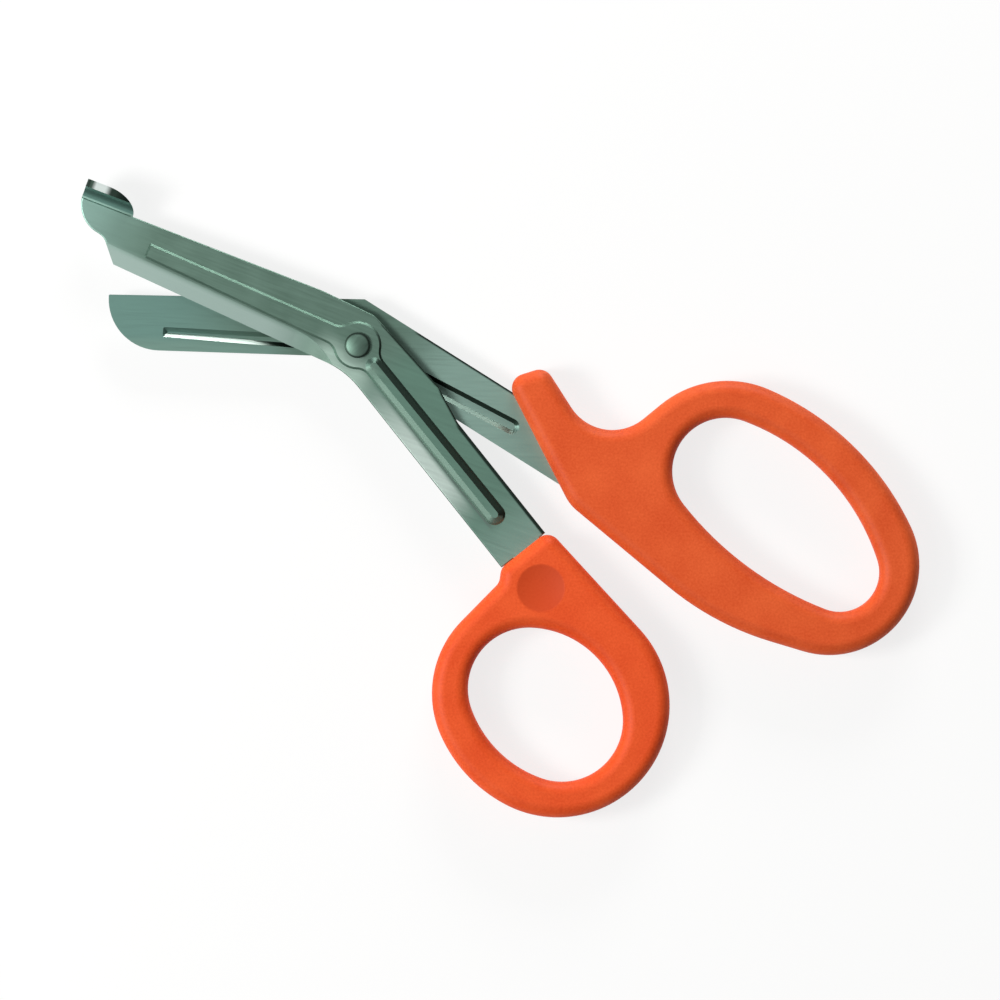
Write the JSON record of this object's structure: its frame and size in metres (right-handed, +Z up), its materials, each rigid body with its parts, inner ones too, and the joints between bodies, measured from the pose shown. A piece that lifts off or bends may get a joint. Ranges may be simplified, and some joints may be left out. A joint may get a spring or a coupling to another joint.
{
  "type": "bandage scissors",
  "caption": "Angled bandage scissors: stamped steel blades with embossed ribs on a rivet, a bent guard foot at the tip, and moulded plastic thumb ring and finger loop.",
  "frame": {"origin": "centre of the footprint, on the plane that the handle backs rest on", "axes": "X runs from the blade tips towards the finger loop, Y from the thumb ring towards the guard foot, Z up out of the side with the rivet head"},
  "size_m": [0.1739, 0.1324, 0.0108],
  "materials": {
    "blade_steel": "satin stamped stainless steel",
    "rivet_steel": "satin turned stainless steel",
    "handle_plastic": "matte orange moulded plastic"
  },
  "bodies": {
    "finger_half": {"rear_blade": "blade_steel", "finger_handle": "handle_plastic", "pivot_rivet": "rivet_steel"},
    "thumb_half": {"front_blade": "blade_steel", "thumb_handle": "handle_plastic"}
  },
  "joints": [
    {"name": "pivot", "type": "hinge", "parent": "finger_half", "child": "thumb_half", "pos_m": [-0.02958, 0.03168, 0.0045], "axis": [0, 0, -1], "range_deg": [-6.8, 60]}
  ]
}
